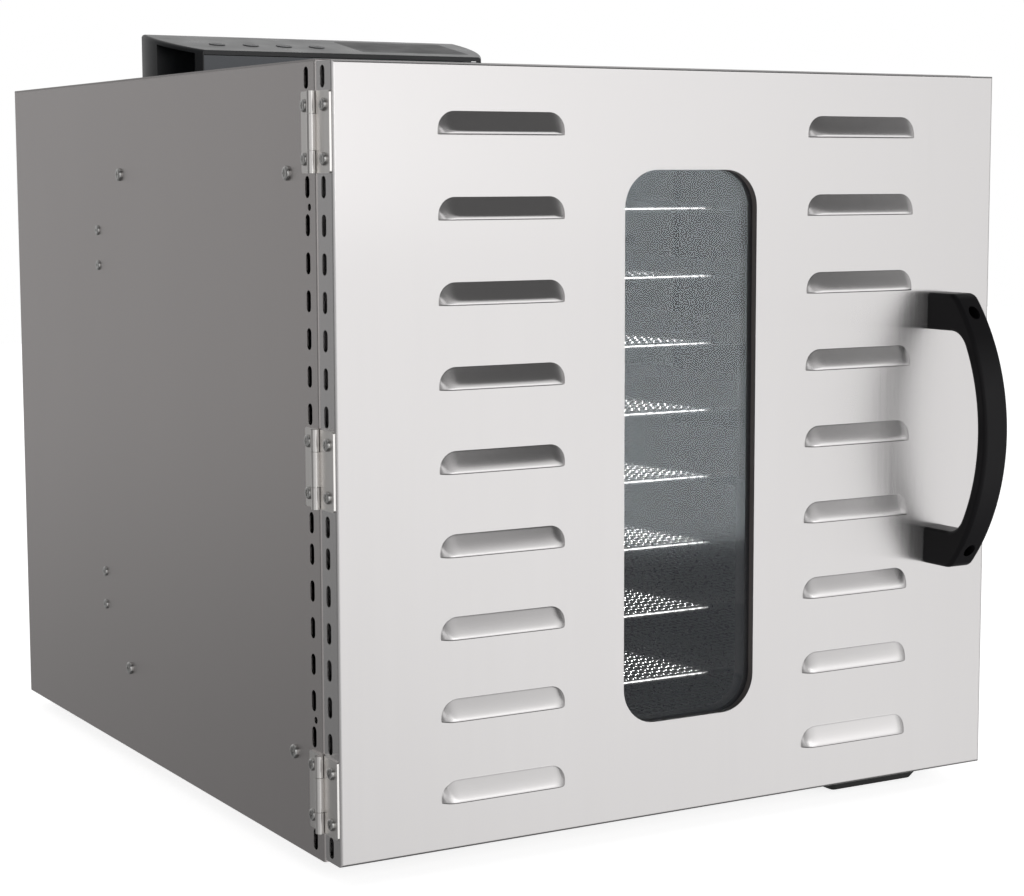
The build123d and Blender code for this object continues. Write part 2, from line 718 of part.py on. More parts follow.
def key(x):
    """One round key: a low cap through the cover with a flange beneath it."""
    cap = Pos(0, 0, (KEY_UP - KEY_DEEP) / 2) * Cylinder(KEY_R, KEY_UP + KEY_DEEP)
    cap = fillet(cap.edges().group_by(Axis.Z)[-1], 0.4)
    flange_z = -KEY_DEEP + KEY_FLANGE_T / 2
    flange = Pos(0, 0, flange_z) * Cylinder(KEY_FLANGE_R, KEY_FLANGE_T)
    return key_place(x) * (cap + flange)


def display_shape(grow, above, below):
    """The display's outline on the slope, from above it to below it."""
    width = DISPLAY_X1 - DISPLAY_X0 + 2 * grow
    height = DISPLAY_TO - DISPLAY_FROM + 2 * grow
    outline = RectangleRounded(width, height, 3.0)
    x = (DISPLAY_X0 + DISPLAY_X1) / 2
    y = (DISPLAY_FROM + DISPLAY_TO) / 2
    slab = extrude(Pos(x, y, -below) * outline, amount=above + below)
    return slope_plane().location * slab


def display_window():
    return display_shape(0.0, 0.0, DISPLAY_T)


def control_board():
    """The circuit board under the keys, with a switch under each key."""
    place = slope_plane(BOARD_DEPTH).location
    board = place * Pos(0, 36, 0) * Box(190, 56, 1.6)
    switches = [place * Pos(x, KEY_ALONG, 1.6) * Box(6, 6, 1.8) for x in KEY_XS]
    digits = place * Pos(66, 38, 3.0) * Box(64, 26, 5.0)
    return joined([board, digits] + switches)


def housing_front():
    """The steel strip under the lip, with a short return at each end."""
    x = HOUSING_FRONT_HALF - 1.2
    y0 = HOUSING_FRONT_Y + 0.8
    z0 = LID_TOP_Z + FIT
    z1 = HOUSING_FRONT_Z - LIP_T - 0.5
    strip = block(-x, x, y0, y0 + SHEET, z0, z1)
    left = block(-x, -x + SHEET, y0, POCKET_FRONT_Y - 0.3, z0, z1)
    right = block(x - SHEET, x, y0, POCKET_FRONT_Y - 0.3, z0, z1)
    return strip + left + right


# ================================================================ door
def louvre(inset):
    """One louvre, solid, with its bottom edge at Z = 0 and its base at Y = 0.

    The ends taper, the upper face slopes out to the lip, and the lip is rounded.
    A positive inset makes the smaller solid that hollows the louvre out.
    """
    width = LOUVRE_W - 2 * inset
    height = LOUVRE_H - inset
    out = LOUVRE_OUT - inset
    below = 12.0
    outline = Pos(0, (height - below) / 2) * RectangleRounded(
        width, height + below, LOUVRE_CORNER - inset
    )
    bulge = extrude(Plane.XZ * outline, amount=out, taper=LOUVRE_TAPER)
    profile = Plane.YZ * Polygon(
        (1, -1), (1, height + 2), (0, height), (-out, LOUVRE_LIP), (-out, -1), align=None
    )
    wedge = extrude(profile, amount=width, both=True)
    shape = bulge & wedge
    shape = shape & block(-width, width, -20, 5, 0, 40)
    lip = [e for e in shape.edges() if e.length > width * 0.5]
    lip = [e for e in lip if abs(e.center().Y + out) < 0.2 and e.center().Z > 1]
    if lip:
        shape = fillet(lip, 2.2 - inset)
    return shape


def louvre_places():
    rows = [LOUVRE_FIRST_Z + LOUVRE_PITCH * i for i in range(LOUVRE_ROWS)]
    return [(side * LOUVRE_X, z) for side in (-1, 1) for z in rows]


def door_skin():
    """The outer door sheet: a shallow tray with louvres, window and side slots."""
    half = DOOR_W / 2
    outer = block(-half, half, FACE_Y, DOOR_BACK_Y, DOOR_Z, DOOR_TOP_Z)
    front = outer.faces().sort_by(Axis.Y)[0].edges()
    outer = fillet(front, BEND_R)
    t = DOOR_SHEET
    inner = block(
        -half + t, half - t, FACE_Y + t, DOOR_BACK_Y + 1, DOOR_Z + t, DOOR_TOP_Z - t
    )
    skin = outer - inner
    outside = louvre(0.0)
    inside = louvre(DOOR_SHEET)
    back = extrude(
        Plane.XZ
        * (
            Pos(0, (LOUVRE_H - t) / 2)
            * RectangleRounded(LOUVRE_W - 2 * t - 2, LOUVRE_H - t - 1, 4.0)
        ),
        amount=-3.0,
    )
    back = Pos(0, -0.5, 0) * back
    skin = joined([skin] + [Pos(x, FACE_Y + 0.05, z) * outside for x, z in louvre_places()])
    tools = [Pos(x, FACE_Y + 0.05, z) * (inside + back) for x, z in louvre_places()]
    tools.append(
        upright_plate(
            WINDOW_W, WINDOW_H, WINDOW_R, FACE_Y - 1, FACE_Y + 3, WINDOW_X, WINDOW_Z
        )
    )
    for z in slot_heights():
        tools.append(side_slot(-half - 1, -half + 3, DOOR_SLOT_Y, z))
        tools.append(side_slot(half - 3, half + 1, DOOR_SLOT_Y, z))
    y = AXIS_Y - HINGE_SCREW_OFFSET
    for z in HINGE_ZS:
        for s in (-1, 1):
            tools.append(rod_x(-half - 1, -half + 3, y, z + s * HINGE_SCREW_Z, SCREW_R + FIT))
    for s in (-1, 1):
        z = HANDLE_Z + s * HANDLE_SCREW_DZ
        tools.append(rod_y(FACE_Y - 1, FACE_Y + 3, HANDLE_X + HANDLE_W / 2, z, 2.1))
    return cut_all(skin, tools)


def door_inner():
    """The inner door sheet: air slots behind the louvres, a framed window hole."""
    x = DOOR_W / 2 - DOOR_SHEET - FIT
    z0 = DOOR_Z + DOOR_SHEET + FIT
    z1 = DOOR_TOP_Z - DOOR_SHEET - FIT
    y1 = DOOR_BACK_Y
    sheet = block(-x, x, y1 - SHEET, y1, z0, z1)
    flange_y = GLASS_Y + GLASS_T + 1.9
    wall = 1.4
    collar = upright_plate(
        WINDOW_W + 2 * wall, WINDOW_H + 2 * wall, WINDOW_R + wall, flange_y, y1,
        WINDOW_X, WINDOW_Z,
    )
    hole = upright_plate(
        WINDOW_W, WINDOW_H, WINDOW_R, flange_y - 1, y1 + 1, WINDOW_X, WINDOW_Z
    )
    tools = [hole]
    for x_, z_ in louvre_places():
        slot = Plane.XZ * SlotOverall(62, 7)
        tools.append(Pos(x_, y1 - 3, z_ + 3) * extrude(slot, amount=-6))
    return cut_all(sheet + collar, tools)


def window_gasket():
    """The black rubber channel around the pane, behind the outer sheet."""
    y0 = FACE_Y + DOOR_SHEET + FIT
    y1 = GLASS_Y + GLASS_T + 1.8
    ring = upright_plate(
        WINDOW_W + 2 * GASKET_W, WINDOW_H + 2 * GASKET_W, WINDOW_R + GASKET_W, y0, y1,
        WINDOW_X, WINDOW_Z,
    )
    hole = upright_plate(
        WINDOW_W, WINDOW_H, WINDOW_R, y0 - 1, y1 + 1, WINDOW_X, WINDOW_Z
    )
    return ring - hole - pane(0.02)


def pane(grow):
    reach = 2 * (GLASS_IN_GROOVE + grow)
    return upright_plate(
        WINDOW_W + reach,
        WINDOW_H + reach,
        WINDOW_R + GLASS_IN_GROOVE + grow,
        GLASS_Y - grow,
        GLASS_Y + GLASS_T + grow,
        WINDOW_X,
        WINDOW_Z,
    )


def door_gasket():
    """The silicone seal that closes on the frame around the chamber's mouth."""
    y0 = DOOR_BACK_Y
    y1 = FRONT_Y - 0.3
    width = 2 * (MOUTH_HALF + SEAL_IN)
    height = MOUTH_Z1 - MOUTH_Z0 + 2 * SEAL_IN
    z = (MOUTH_Z0 + MOUTH_Z1) / 2
    grow = 2 * SEAL_W
    outer = upright_plate(width + grow, height + grow, 10.0, y0, y1, 0, z)
    inner = upright_plate(width, height, 4.0, y0 - 1, y1 + 1, 0, z)
    return outer - inner


def strike():
    """The steel plate on the door that the magnet holds."""
    y0 = DOOR_BACK_Y
    return block(
        MAGNET_X0, MAGNET_X0 + MAGNET_W, y0, y0 + STRIKE_T,
        FAN_Z - MAGNET_H / 2, FAN_Z + MAGNET_H / 2,
    )


def magnet_catch():
    return magnet_seat(0.0)


def handle():
    """A bow handle: an arc of constant thickness on two square feet."""
    half = HANDLE_H / 2
    grip = HANDLE_GRIP_H / 2
    centre_y = -HANDLE_OUT + HANDLE_ARC_R
    outer_disc = Pos(centre_y, 0) * Circle(HANDLE_ARC_R)
    outer = outer_disc & Pos(-HANDLE_OUT, 0) * Rectangle(
        HANDLE_OUT, 2 * half, align=(Align.MIN, Align.CENTER)
    )
    inner_disc = Pos(centre_y, 0) * Circle(HANDLE_ARC_R - HANDLE_T)
    inner = inner_disc & Pos(-HANDLE_OUT, 0) * Rectangle(
        HANDLE_OUT + 10, 2 * grip, align=(Align.MIN, Align.CENTER)
    )
    inner = fillet(inner.vertices().sort_by(Axis.X)[0:2], HANDLE_INNER_R)
    outer = fillet(outer.vertices().sort_by(Axis.X)[0:2], HANDLE_OUTER_R)
    face = Plane.YZ * (outer - inner)
    bow = extrude(face, amount=HANDLE_W)
    bow = Pos(HANDLE_X, FACE_Y, HANDLE_Z) * bow
    sides = bow.faces().filter_by(Plane.YZ)
    rims = [e for f in sides for e in f.edges() if e.center().Y < FACE_Y - 0.5]
    bow = fillet(rims, HANDLE_RIM_R)
    x = HANDLE_X + HANDLE_W / 2
    tools = []
    for s in (-1, 1):
        z = HANDLE_Z + s * HANDLE_SCREW_DZ
        tools.append(rod_y(FACE_Y - 60, FACE_Y - 12, x, z, 3.9))
        tools.append(rod_y(FACE_Y - 60, FACE_Y + 2, x, z, 2.05))
    return cut_all(bow, tools)


def handle_screws():
    screw = facing_front(pan_screw(3.6, 2.4, 2.0, 15.0))
    x = HANDLE_X + HANDLE_W / 2
    return [Pos(x, FACE_Y - 12, HANDLE_Z + s * HANDLE_SCREW_DZ) * screw for s in (-1, 1)]


# ================================================================ hinges
def leaf(z, on_door):
    """One hinge leaf with its knuckles: the middle one on the door's leaf."""
    x0 = -HALF_W - LEAF_T
    near = LEAF_GAP / 2
    if on_door:
        y0, y1 = AXIS_Y - LEAF_DOOR_REACH, AXIS_Y - near
    else:
        y0, y1 = AXIS_Y + near, AXIS_Y + LEAF_CASE_REACH
    plate = block(x0, -HALF_W, y0, y1, z - HINGE_H / 2, z + HINGE_H / 2)
    corner = [e for e in plate.edges().filter_by(Axis.X)]
    far = [e for e in corner if abs(e.center().Y - AXIS_Y) > 2]
    plate = fillet(far, 1.5)
    low = z - HINGE_MIDDLE / 2
    high = z + HINGE_MIDDLE / 2
    gap = KNUCKLE_GAP / 2
    clear_r = KNUCKLE_R + KNUCKLE_SWEEP
    bottom = z - HINGE_H / 2
    top = z + HINGE_H / 2
    if on_door:
        spans = [(low + gap, high - gap)]
        gone = [(bottom - 1, low + gap), (high - gap, top + 1)]
    else:
        spans = [(bottom, low - gap), (high + gap, top)]
        gone = [(low - gap, high + gap)]
    barrels = [rod_z(a, b, AXIS_X, AXIS_Y, KNUCKLE_R) for a, b in spans]
    cleared = [rod_z(a, b, AXIS_X, AXIS_Y, clear_r) for a, b in gone]
    bore_r = PIN_R + (PIN_CLEARANCE if on_door else 0.0)
    bore = rod_z(bottom - 1, top + 1, AXIS_X, AXIS_Y, bore_r)
    side = -1 if on_door else 1
    y = AXIS_Y + side * HINGE_SCREW_OFFSET
    holes = [
        rod_x(x0 - 1, -HALF_W + 1, y, z + s * HINGE_SCREW_Z, SCREW_R) for s in (-1, 1)
    ]
    return cut_all(joined([cut_all(plate, cleared)] + barrels), [bore] + holes)


def hinge_pin(z):
    return rod_z(z - HINGE_H / 2, z + HINGE_H / 2, AXIS_X, AXIS_Y, PIN_R)


def hinge_screws(on_door):
    side = -1 if on_door else 1
    y = AXIS_Y + side * HINGE_SCREW_OFFSET
    screw = facing_left(pan_screw(SCREW_HEAD_R, SCREW_HEAD_T, SCREW_R, 4.0))
    zs = [z + s * HINGE_SCREW_Z for z in HINGE_ZS for s in (-1, 1)]
    return [Pos(-HALF_W - LEAF_T, y, z) * screw for z in zs]


# ================================================================ all the nodes
def build_case():
    left = side_panel()
    save("left_side_panel", cut_all(left, hinge_holes()))
    save("right_side_panel", mirror(left, about=Plane.YZ))
    save("top_panel", lid())
    save("base_panel", base())
    save("front_frame", front_frame())
    save("rear_panel", rear_panel())
    save("mains_inlet", mains_inlet())
    save_group("inlet_screws", inlet_screws())
    save_group("rubber_feet", [foot(x, y) for x, y in foot_places()])
    save_group("foot_screws", foot_screws())
    left_rack = rack()
    save("tray_rack_left", left_rack)
    save("tray_rack_right", mirror(left_rack, about=Plane.YZ))
    screws = rack_screws()
    save_group("rack_screws", screws + [mirror(s, about=Plane.YZ) for s in screws])
    left_rivets = rivets()
    right_rivets = [mirror(r, about=Plane.YZ) for r in left_rivets]
    save_group("baffle_rivets", left_rivets + right_rivets)
    save("magnet_catch", magnet_catch())


def build_air_system():
    save("rear_baffle", baffle())
    save("heat_shield", heat_shield())
    save("motor_bracket", motor_bracket())
    save_group("motor_screws", motor_screws())
    save("fan_motor", motor())
    save("fan_shaft", fan_shaft())
    save("fan_blades", fan_blades())
    save("heating_element", heater())
    save_group("heater_clips", heater_clips())
    save("temperature_probe", sensor())


def build_controls():
    save("control_housing", control_housing())
    save("control_front_strip", housing_front())
    save("control_board", control_board())
    save("display_window", display_window())
    for i, x in enumerate(KEY_XS, 1):
        save(f"key_{i}", key(x))


def build_door():
    save("door_skin", door_skin())
    save("door_inner_panel", door_inner())
    save("window_glass", pane(0.0))
    save("window_gasket", window_gasket())
    save("door_gasket", door_gasket())
    save("door_strike", strike())
    save("handle", handle())
    save_group("handle_screws", handle_screws())
    save_group("hinge_screws_door", hinge_screws(True))
    save_group("hinge_screws_case", hinge_screws(False))
    for name, z in zip(("lower", "middle", "upper"), HINGE_ZS):
        save(f"hinge_leaf_door_{name}", leaf(z, True))
        save(f"hinge_leaf_case_{name}", leaf(z, False))
    save_group("hinge_pins", [hinge_pin(z) for z in HINGE_ZS])


def build_trays():
    for i, z in enumerate(tray_heights(), 1):
        save(f"tray_{i:02d}", tray(z))


build_case()
build_air_system()
build_controls()
build_door()
build_trays()
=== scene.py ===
"""Studio scene of the food dehydrator: finishes, pressed door skin, wire trays and key marks on the frame."""

import json
from math import atan2, cos, pi, radians, sin, sqrt

import bmesh
import bpy
from mathutils import Matrix, Vector


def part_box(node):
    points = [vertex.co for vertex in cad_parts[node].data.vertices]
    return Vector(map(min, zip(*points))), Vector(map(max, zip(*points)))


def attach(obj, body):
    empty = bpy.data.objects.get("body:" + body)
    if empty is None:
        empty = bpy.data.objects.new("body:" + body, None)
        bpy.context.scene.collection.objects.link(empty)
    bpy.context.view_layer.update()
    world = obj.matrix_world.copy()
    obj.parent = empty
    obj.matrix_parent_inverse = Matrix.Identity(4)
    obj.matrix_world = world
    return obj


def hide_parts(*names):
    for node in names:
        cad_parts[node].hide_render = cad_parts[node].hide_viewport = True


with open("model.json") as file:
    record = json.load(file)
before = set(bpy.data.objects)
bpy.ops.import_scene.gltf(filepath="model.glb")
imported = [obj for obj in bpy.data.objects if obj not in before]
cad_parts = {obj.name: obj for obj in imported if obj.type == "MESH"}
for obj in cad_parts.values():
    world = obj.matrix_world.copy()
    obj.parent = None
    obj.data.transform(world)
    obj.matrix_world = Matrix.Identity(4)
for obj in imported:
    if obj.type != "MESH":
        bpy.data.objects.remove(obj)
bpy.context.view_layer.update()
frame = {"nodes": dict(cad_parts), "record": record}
nodes = frame["nodes"]
scene = bpy.context.scene
MM = 0.001
WHITE = (1.0, 1.0, 1.0)


# ---------------------------------------------------------------- camera
# Angles are in degrees, places in metres, and the lens and sensor in millimetres.
CAMERA_TARGET = Vector((-0.120343, -0.2385, 0.238499))
CAMERA_DISTANCE = 1.291743
CAMERA_AZIMUTH = -30.103
CAMERA_ELEVATION = 6.679
CAMERA_ROLL = -0.163
CAMERA_LENS = 80.65
CAMERA_SENSOR = 36.0
CAMERA_CLIP = 0.02


def heading(azimuth, elevation):
    """The direction at this azimuth, from the front (-Y) towards the right (+X), in degrees."""
    a, e = radians(azimuth), radians(elevation)
    return Vector((sin(a) * cos(e), -cos(a) * cos(e), sin(e)))


def make_camera():
    azimuth, roll = radians(CAMERA_AZIMUTH), radians(CAMERA_ROLL)
    back = heading(CAMERA_AZIMUTH, CAMERA_ELEVATION)
    right = Vector((cos(azimuth), sin(azimuth), 0.0))
    up = back.cross(right)
    side = right * cos(roll) + up * sin(roll)
    top = up * cos(roll) - right * sin(roll)
    data = bpy.data.cameras.new("camera")
    data.lens = CAMERA_LENS
    data.sensor_width = CAMERA_SENSOR
    data.sensor_fit = "HORIZONTAL"
    data.clip_start = CAMERA_CLIP
    camera = bpy.data.objects.new("camera", data)
    scene.collection.objects.link(camera)
    camera.matrix_world = Matrix((side, top, back)).transposed().to_4x4()
    camera.location = CAMERA_TARGET + back * CAMERA_DISTANCE
    scene.camera = camera


# ---------------------------------------------------------------- node helpers
def add(tree, kind, **settings):
    node = tree.nodes.new(kind)
    for name, value in settings.items():
        setattr(node, name, value)
    return node


def math_node(tree, operation, a, b):
    """The result of an operation on two values, each a number or a socket."""
    node = add(tree, "ShaderNodeMath", operation=operation)
    for socket, value in zip(node.inputs, (a, b)):
        if isinstance(value, (int, float)):
            socket.default_value = value
        else:
            tree.links.new(value, socket)
    return node.outputs[0]


def ranged(tree, value, from_low, from_high, to_low, to_high, smooth=False):
    """The value moved from one range to the other and held inside it."""
    node = add(tree, "ShaderNodeMapRange")
    if smooth:
        node.interpolation_type = "SMOOTHSTEP"
    tree.links.new(value, node.inputs["Value"])
    numbers = (from_low, from_high, to_low, to_high)
    for name, number in zip(("From Min", "From Max", "To Min", "To Max"), numbers):
        node.inputs[name].default_value = number
    return node.outputs["Result"]


def noise(tree, scales, detail=3.0, roughness=0.55):
    """Noise over the object's own coordinates, with its scale per metre on each axis."""
    place = add(tree, "ShaderNodeTexCoord")
    stretch = add(tree, "ShaderNodeMapping")
    stretch.inputs["Scale"].default_value = scales
    tree.links.new(place.outputs["Object"], stretch.inputs["Vector"])
    node = add(tree, "ShaderNodeTexNoise")
    node.inputs["Scale"].default_value = 1.0
    node.inputs["Detail"].default_value = detail
    node.inputs["Roughness"].default_value = roughness
    tree.links.new(stretch.outputs["Vector"], node.inputs["Vector"])
    return node.outputs["Fac"]


def mixed(tree, factor, color_a, color_b):
    """A colour between two, by the factor. The mix node keeps its colours in inputs 6 and 7 and output 2."""
    node = add(tree, "ShaderNodeMix", data_type="RGBA")
    tree.links.new(factor, node.inputs[0])
    node.inputs[6].default_value = (*color_a, 1.0)
    node.inputs[7].default_value = (*color_b, 1.0)
    return node.outputs[2]


def turned_to(tree, factor, value, level):
    """The value taken to a fixed level by the factor. The mix node keeps its numbers in inputs 2 and 3."""
    node = add(tree, "ShaderNodeMix", data_type="FLOAT")
    tree.links.new(factor, node.inputs[0])
    tree.links.new(value, node.inputs[2])
    node.inputs[3].default_value = level
    return node.outputs[0]


def dot(tree, direction, axis):
    """The dot product of a direction and a fixed axis."""
    node = add(tree, "ShaderNodeVectorMath", operation="DOT_PRODUCT")
    tree.links.new(direction, node.inputs[0])
    node.inputs[1].default_value = axis
    return node.outputs["Value"]


def scaled(color, factor):
    return tuple(min(1.0, channel * factor) for channel in color)


def bumped(tree, shader, height, distance):
    node = add(tree, "ShaderNodeBump")
    node.inputs["Strength"].default_value = 1.0
    node.inputs["Distance"].default_value = distance
    tree.links.new(height, node.inputs["Height"])
    tree.links.new(node.outputs["Normal"], shader.inputs["Normal"])


def new_material(name, **constants):
    """A material and its node tree and shader; constants name the shader's sockets, with _ for a space."""
    material = bpy.data.materials.new(name)
    material.use_nodes = True
    tree = material.node_tree
    shader = tree.nodes["Principled BSDF"]
    for socket, value in constants.items():
        shader.inputs[socket.replace("_", " ")].default_value = value
    return material, tree, shader


# ---------------------------------------------------------------- materials
# Noise scales are per metre. A spread is the lowest and highest roughness, as multiples of a finish's own.
NOISE_RANGE = (0.3, 0.7)
GRAIN_ACROSS = 900.0
GRAIN_ALONG = 9.0
CLOUD_SCALE = 7.0
STREAK_SHARE = 0.75
BRUSH_SPREAD = (0.9, 1.12)
BRUSH_RELIEF = 0.001 * MM
MOTTLE_SCALE = 350.0
MOTTLE_CONTRAST = 0.06
MOTTLE_SPREAD = (0.8, 1.25)
PORE_SCALE = 2200.0
PORE_RELIEF = 0.02 * MM
WEAR_SCALE = 45.0
WEAR_CONTRAST = 0.12
WEAR_SPREAD = (0.9, 1.1)
SMUDGE_SCALES = (30.0, 30.0, 18.0)
GLASS_TINTS = ((0.014, 0.015, 0.017), (0.022, 0.024, 0.027))


def tinted(tree, shader, pattern, color, contrast):
    """Gives the base colour a pattern, darker and lighter than the colour by the contrast."""
    base = mixed(tree, pattern, scaled(color, 1.0 - contrast), scaled(color, 1.0 + contrast))
    tree.links.new(base, shader.inputs["Base Color"])


def roughened(tree, shader, pattern, roughness, spread):
    """Gives the roughness a pattern, between the two multiples in the spread."""
    low, high = (roughness * part for part in spread)
    tree.links.new(ranged(tree, pattern, *NOISE_RANGE, low, high), shader.inputs["Roughness"])


def brushed(name, color, roughness, grain="Z", anisotropy=0.88, contrast=0.02):
    """Brushed sheet: streaks along one axis in colour, roughness and relief, over broad faint clouds."""
    material, tree, shader = new_material(name, Metallic=1.0, Anisotropic=anisotropy)
    scales = {axis: GRAIN_ACROSS for axis in "XYZ"}
    scales[grain] = GRAIN_ALONG
    streaks = noise(tree, tuple(scales.values()), detail=4.0, roughness=0.6)
    clouds = noise(tree, (CLOUD_SCALE, CLOUD_SCALE, CLOUD_SCALE / 2), detail=2.0)
    streak_part = math_node(tree, "MULTIPLY", streaks, STREAK_SHARE)
    cloud_part = math_node(tree, "MULTIPLY", clouds, 1.0 - STREAK_SHARE)
    both = math_node(tree, "ADD", streak_part, cloud_part)
    tinted(tree, shader, ranged(tree, both, *NOISE_RANGE, 0.0, 1.0), color, contrast)
    roughened(tree, shader, both, roughness, BRUSH_SPREAD)
    bumped(tree, shader, streaks, BRUSH_RELIEF)
    if grain == "Z":
        around = add(tree, "ShaderNodeTangent", direction_type="RADIAL", axis="Z")
        tree.links.new(around.outputs["Tangent"], shader.inputs["Tangent"])
    return material


def plain_metal(name, color, roughness):
    """Plated or drawn metal with a faint mottle."""
    material, tree, shader = new_material(name, Metallic=1.0)
    mottle = noise(tree, (MOTTLE_SCALE,) * 3)
    tinted(tree, shader, mottle, color, MOTTLE_CONTRAST)
    roughened(tree, shader, mottle, roughness, MOTTLE_SPREAD)
    return material


def moulded(name, color, roughness, relief=PORE_RELIEF, **constants):
    """Moulded plastic or rubber: a fine even grain, with faint worn patches in colour and roughness."""
    material, tree, shader = new_material(name, **constants)
    grain = noise(tree, (PORE_SCALE,) * 3, detail=2.0)
    wear = noise(tree, (WEAR_SCALE,) * 3)
    tinted(tree, shader, wear, color, WEAR_CONTRAST)
    roughened(tree, shader, wear, roughness, WEAR_SPREAD)
    bumped(tree, shader, grain, relief)
    return material


def glass():
    """Smoked float glass, clear enough to see the trays through."""
    material, tree, shader = new_material("smoked_glass", Roughness=0.1, IOR=1.52, Alpha=0.28)
    smudge = noise(tree, SMUDGE_SCALES)
    tree.links.new(mixed(tree, smudge, *GLASS_TINTS), shader.inputs["Base Color"])
    return material


# Finishes of single pieces, which differ from the rest of their slot.
# The window gasket's black rubber is lifted to dark grey here: painted reflection of the studio on the gasket's
# face inside the window's opening.
gasket_painted_reflection = moulded("window_gasket_painted_reflection", (0.11, 0.098, 0.095), 0.5)
level_steel = brushed(
    "brushed_level_steel", (0.44, 0.42, 0.415), 0.38, grain="Y", anisotropy=0.0, contrast=0.03
)
OWN_FINISHES = {"window_gasket": gasket_painted_reflection, "top_panel": level_steel, "base_panel": level_steel}
FINISHES = {
    "case_steel": brushed("brushed_case_steel", (0.60, 0.568, 0.56), 0.24, contrast=0.03),
    "door_steel": brushed("brushed_door_steel", (0.68, 0.664, 0.662), 0.21, anisotropy=1.0),
    "inner_steel": brushed("plain_inner_steel", (0.25, 0.25, 0.25), 0.42, anisotropy=0.3),
    # The stainless strip under the housing's lip is darkened to near black here: painted shade from the lip
    # above it.
    "strip_steel": brushed("strip_painted_shade", (0.075, 0.078, 0.083), 0.3, grain="X", anisotropy=0.0),
    "tray_wire": plain_metal("electropolished_wire", (0.42, 0.42, 0.415), 0.3),
    "screws": plain_metal("bright_zinc", (0.56, 0.555, 0.545), 0.14),
    # The hinges' satin steel is far lighter than the case's: partly their less brushed finish catching more of
    # the front light, partly painted sheen from that light in the colour.
    "hinge_steel": brushed("satin_hinge_painted_sheen", (0.84, 0.82, 0.80), 0.3, anisotropy=0.2, contrast=0.06),
    "handle_plastic": moulded(
        "textured_black_handle", (0.005, 0.0046, 0.0055), 0.42, Specular_IOR_Level=0.17
    ),
    "housing_plastic": moulded(
        "satin_black_housing", (0.012, 0.013, 0.015), 0.3, relief=0.008 * MM, Specular_IOR_Level=0.4
    ),
    "keys": moulded("satin_grey_keys", (0.035, 0.037, 0.041), 0.36, relief=0.01 * MM),
    "display": moulded(
        "smoked_display", (0.006, 0.006, 0.008), 0.42, relief=0.004 * MM, Specular_IOR_Level=0.3
    ),
    "window_glass": glass(),
    "rubber": moulded("black_rubber", (0.012, 0.012, 0.012), 0.55),
    "seal": moulded("grey_silicone", (0.3, 0.3, 0.3), 0.5),
    "board": moulded("green_solder_mask", (0.03, 0.16, 0.07), 0.3),
    "motor_metal": plain_metal("zinc_plate", (0.45, 0.45, 0.46), 0.32),
    "heater_sheath": plain_metal("heat_darkened_sheath", (0.2, 0.17, 0.15), 0.4),
    "fan_alloy": plain_metal("plain_aluminium", (0.7, 0.7, 0.71), 0.34),
    "magnet_black": moulded("black_magnet_case", (0.02, 0.02, 0.02), 0.45),
}


def finish_nodes():
    for part in frame["record"]["subparts"]:
        materials = nodes[part["node"]].data.materials
        material = OWN_FINISHES.get(part["node"], FINISHES[part["material_slot"]])
        for index in range(len(materials)):
            materials[index] = material
        if not materials:
            materials.append(material)


# ---------------------------------------------------------------- mesh helpers
TUBE_SIDES = 10


def mesh_object(name, vertices, faces, material):
    mesh = bpy.data.meshes.new(name)
    mesh.from_pydata(vertices, [], faces)
    mesh.update()
    mesh.materials.append(material)
    piece = bpy.data.objects.new(name, mesh)
    scene.collection.objects.link(piece)
    return piece


def tube(vertices, faces, points, radius, closed, sides=TUBE_SIDES):
    """Adds a round tube in a level plane along the points."""
    first = len(vertices)
    count = len(points)
    for i, point in enumerate(points):
        before = points[(i - 1) % count] if closed or i else point
        after = points[(i + 1) % count] if closed or i < count - 1 else point
        along = (after - before).normalized()
        across = Vector((along.y, -along.x, 0.0))
        for k in range(sides):
            turn = 2 * pi * k / sides
            vertices.append(point + (across * cos(turn) + Vector((0, 0, sin(turn)))) * radius)
    for i in range(count if closed else count - 1):
        ring = first + i * sides
        following = first + ((i + 1) % count) * sides
        for k in range(sides):
            n = (k + 1) % sides
            faces.append((ring + k, following + k, following + n, ring + n))
    if not closed:
        last = first + (count - 1) * sides
        faces.append(tuple(first + k for k in range(sides)))
        faces.append(tuple(last + k for k in reversed(range(sides))))


# ---------------------------------------------------------------- pressed door skin
# From the ends of the skin's folded returns to its outer face.
DOOR_DEPTH = 18.6 * MM
SKIN_T = 0.9 * MM
SOFT_EDGE = radians(28.0)
# Faces of the frame's skin that stand out more than this are its own louvres.
RAISED = 0.03 * MM
MERGE_DISTANCE = 0.0005 * MM

# Two columns of louvres, this far each side of the door's middle, in rows up from its bottom edge.
LOUVRE_ROWS = 9
LOUVRE_PITCH = 46.7 * MM
LOUVRE_FIRST_UP = 27.6 * MM
LOUVRE_X = 126.0 * MM
LOUVRE_PROUD = 0.02 * MM

# One louvre: its outline with two rounded top corners, and how far it stands out.
LOUVRE_HALF_W = 40.6 * MM
LOUVRE_H = 12.9 * MM
LOUVRE_CORNER = 10.3 * MM
LOUVRE_OUT = 5.2 * MM
# The slope levels off towards the open edge, and the ends rise over this length.
LOUVRE_LIP = 0.12
LOUVRE_END = 3.2 * MM
LOUVRE_SOFT = 3.0
# The rounded foot of the pressing, and the open edge's roll back into the door.
LOUVRE_RIM = 0.7 * MM
LOUVRE_ROLL = 0.8 * MM
LOUVRE_ROLL_BACK = 0.6 * MM
OUTLINE_MARGIN = 0.01 * MM
LOUVRE_COLUMNS = 60
LOUVRE_UP = 22


def past_corner(value, straight):
    """How much a quarter circle of the corner radius drops, this far along past the straight stretch."""
    past = min(LOUVRE_CORNER, max(0.0, value - straight))
    return LOUVRE_CORNER - sqrt(LOUVRE_CORNER ** 2 - past ** 2)


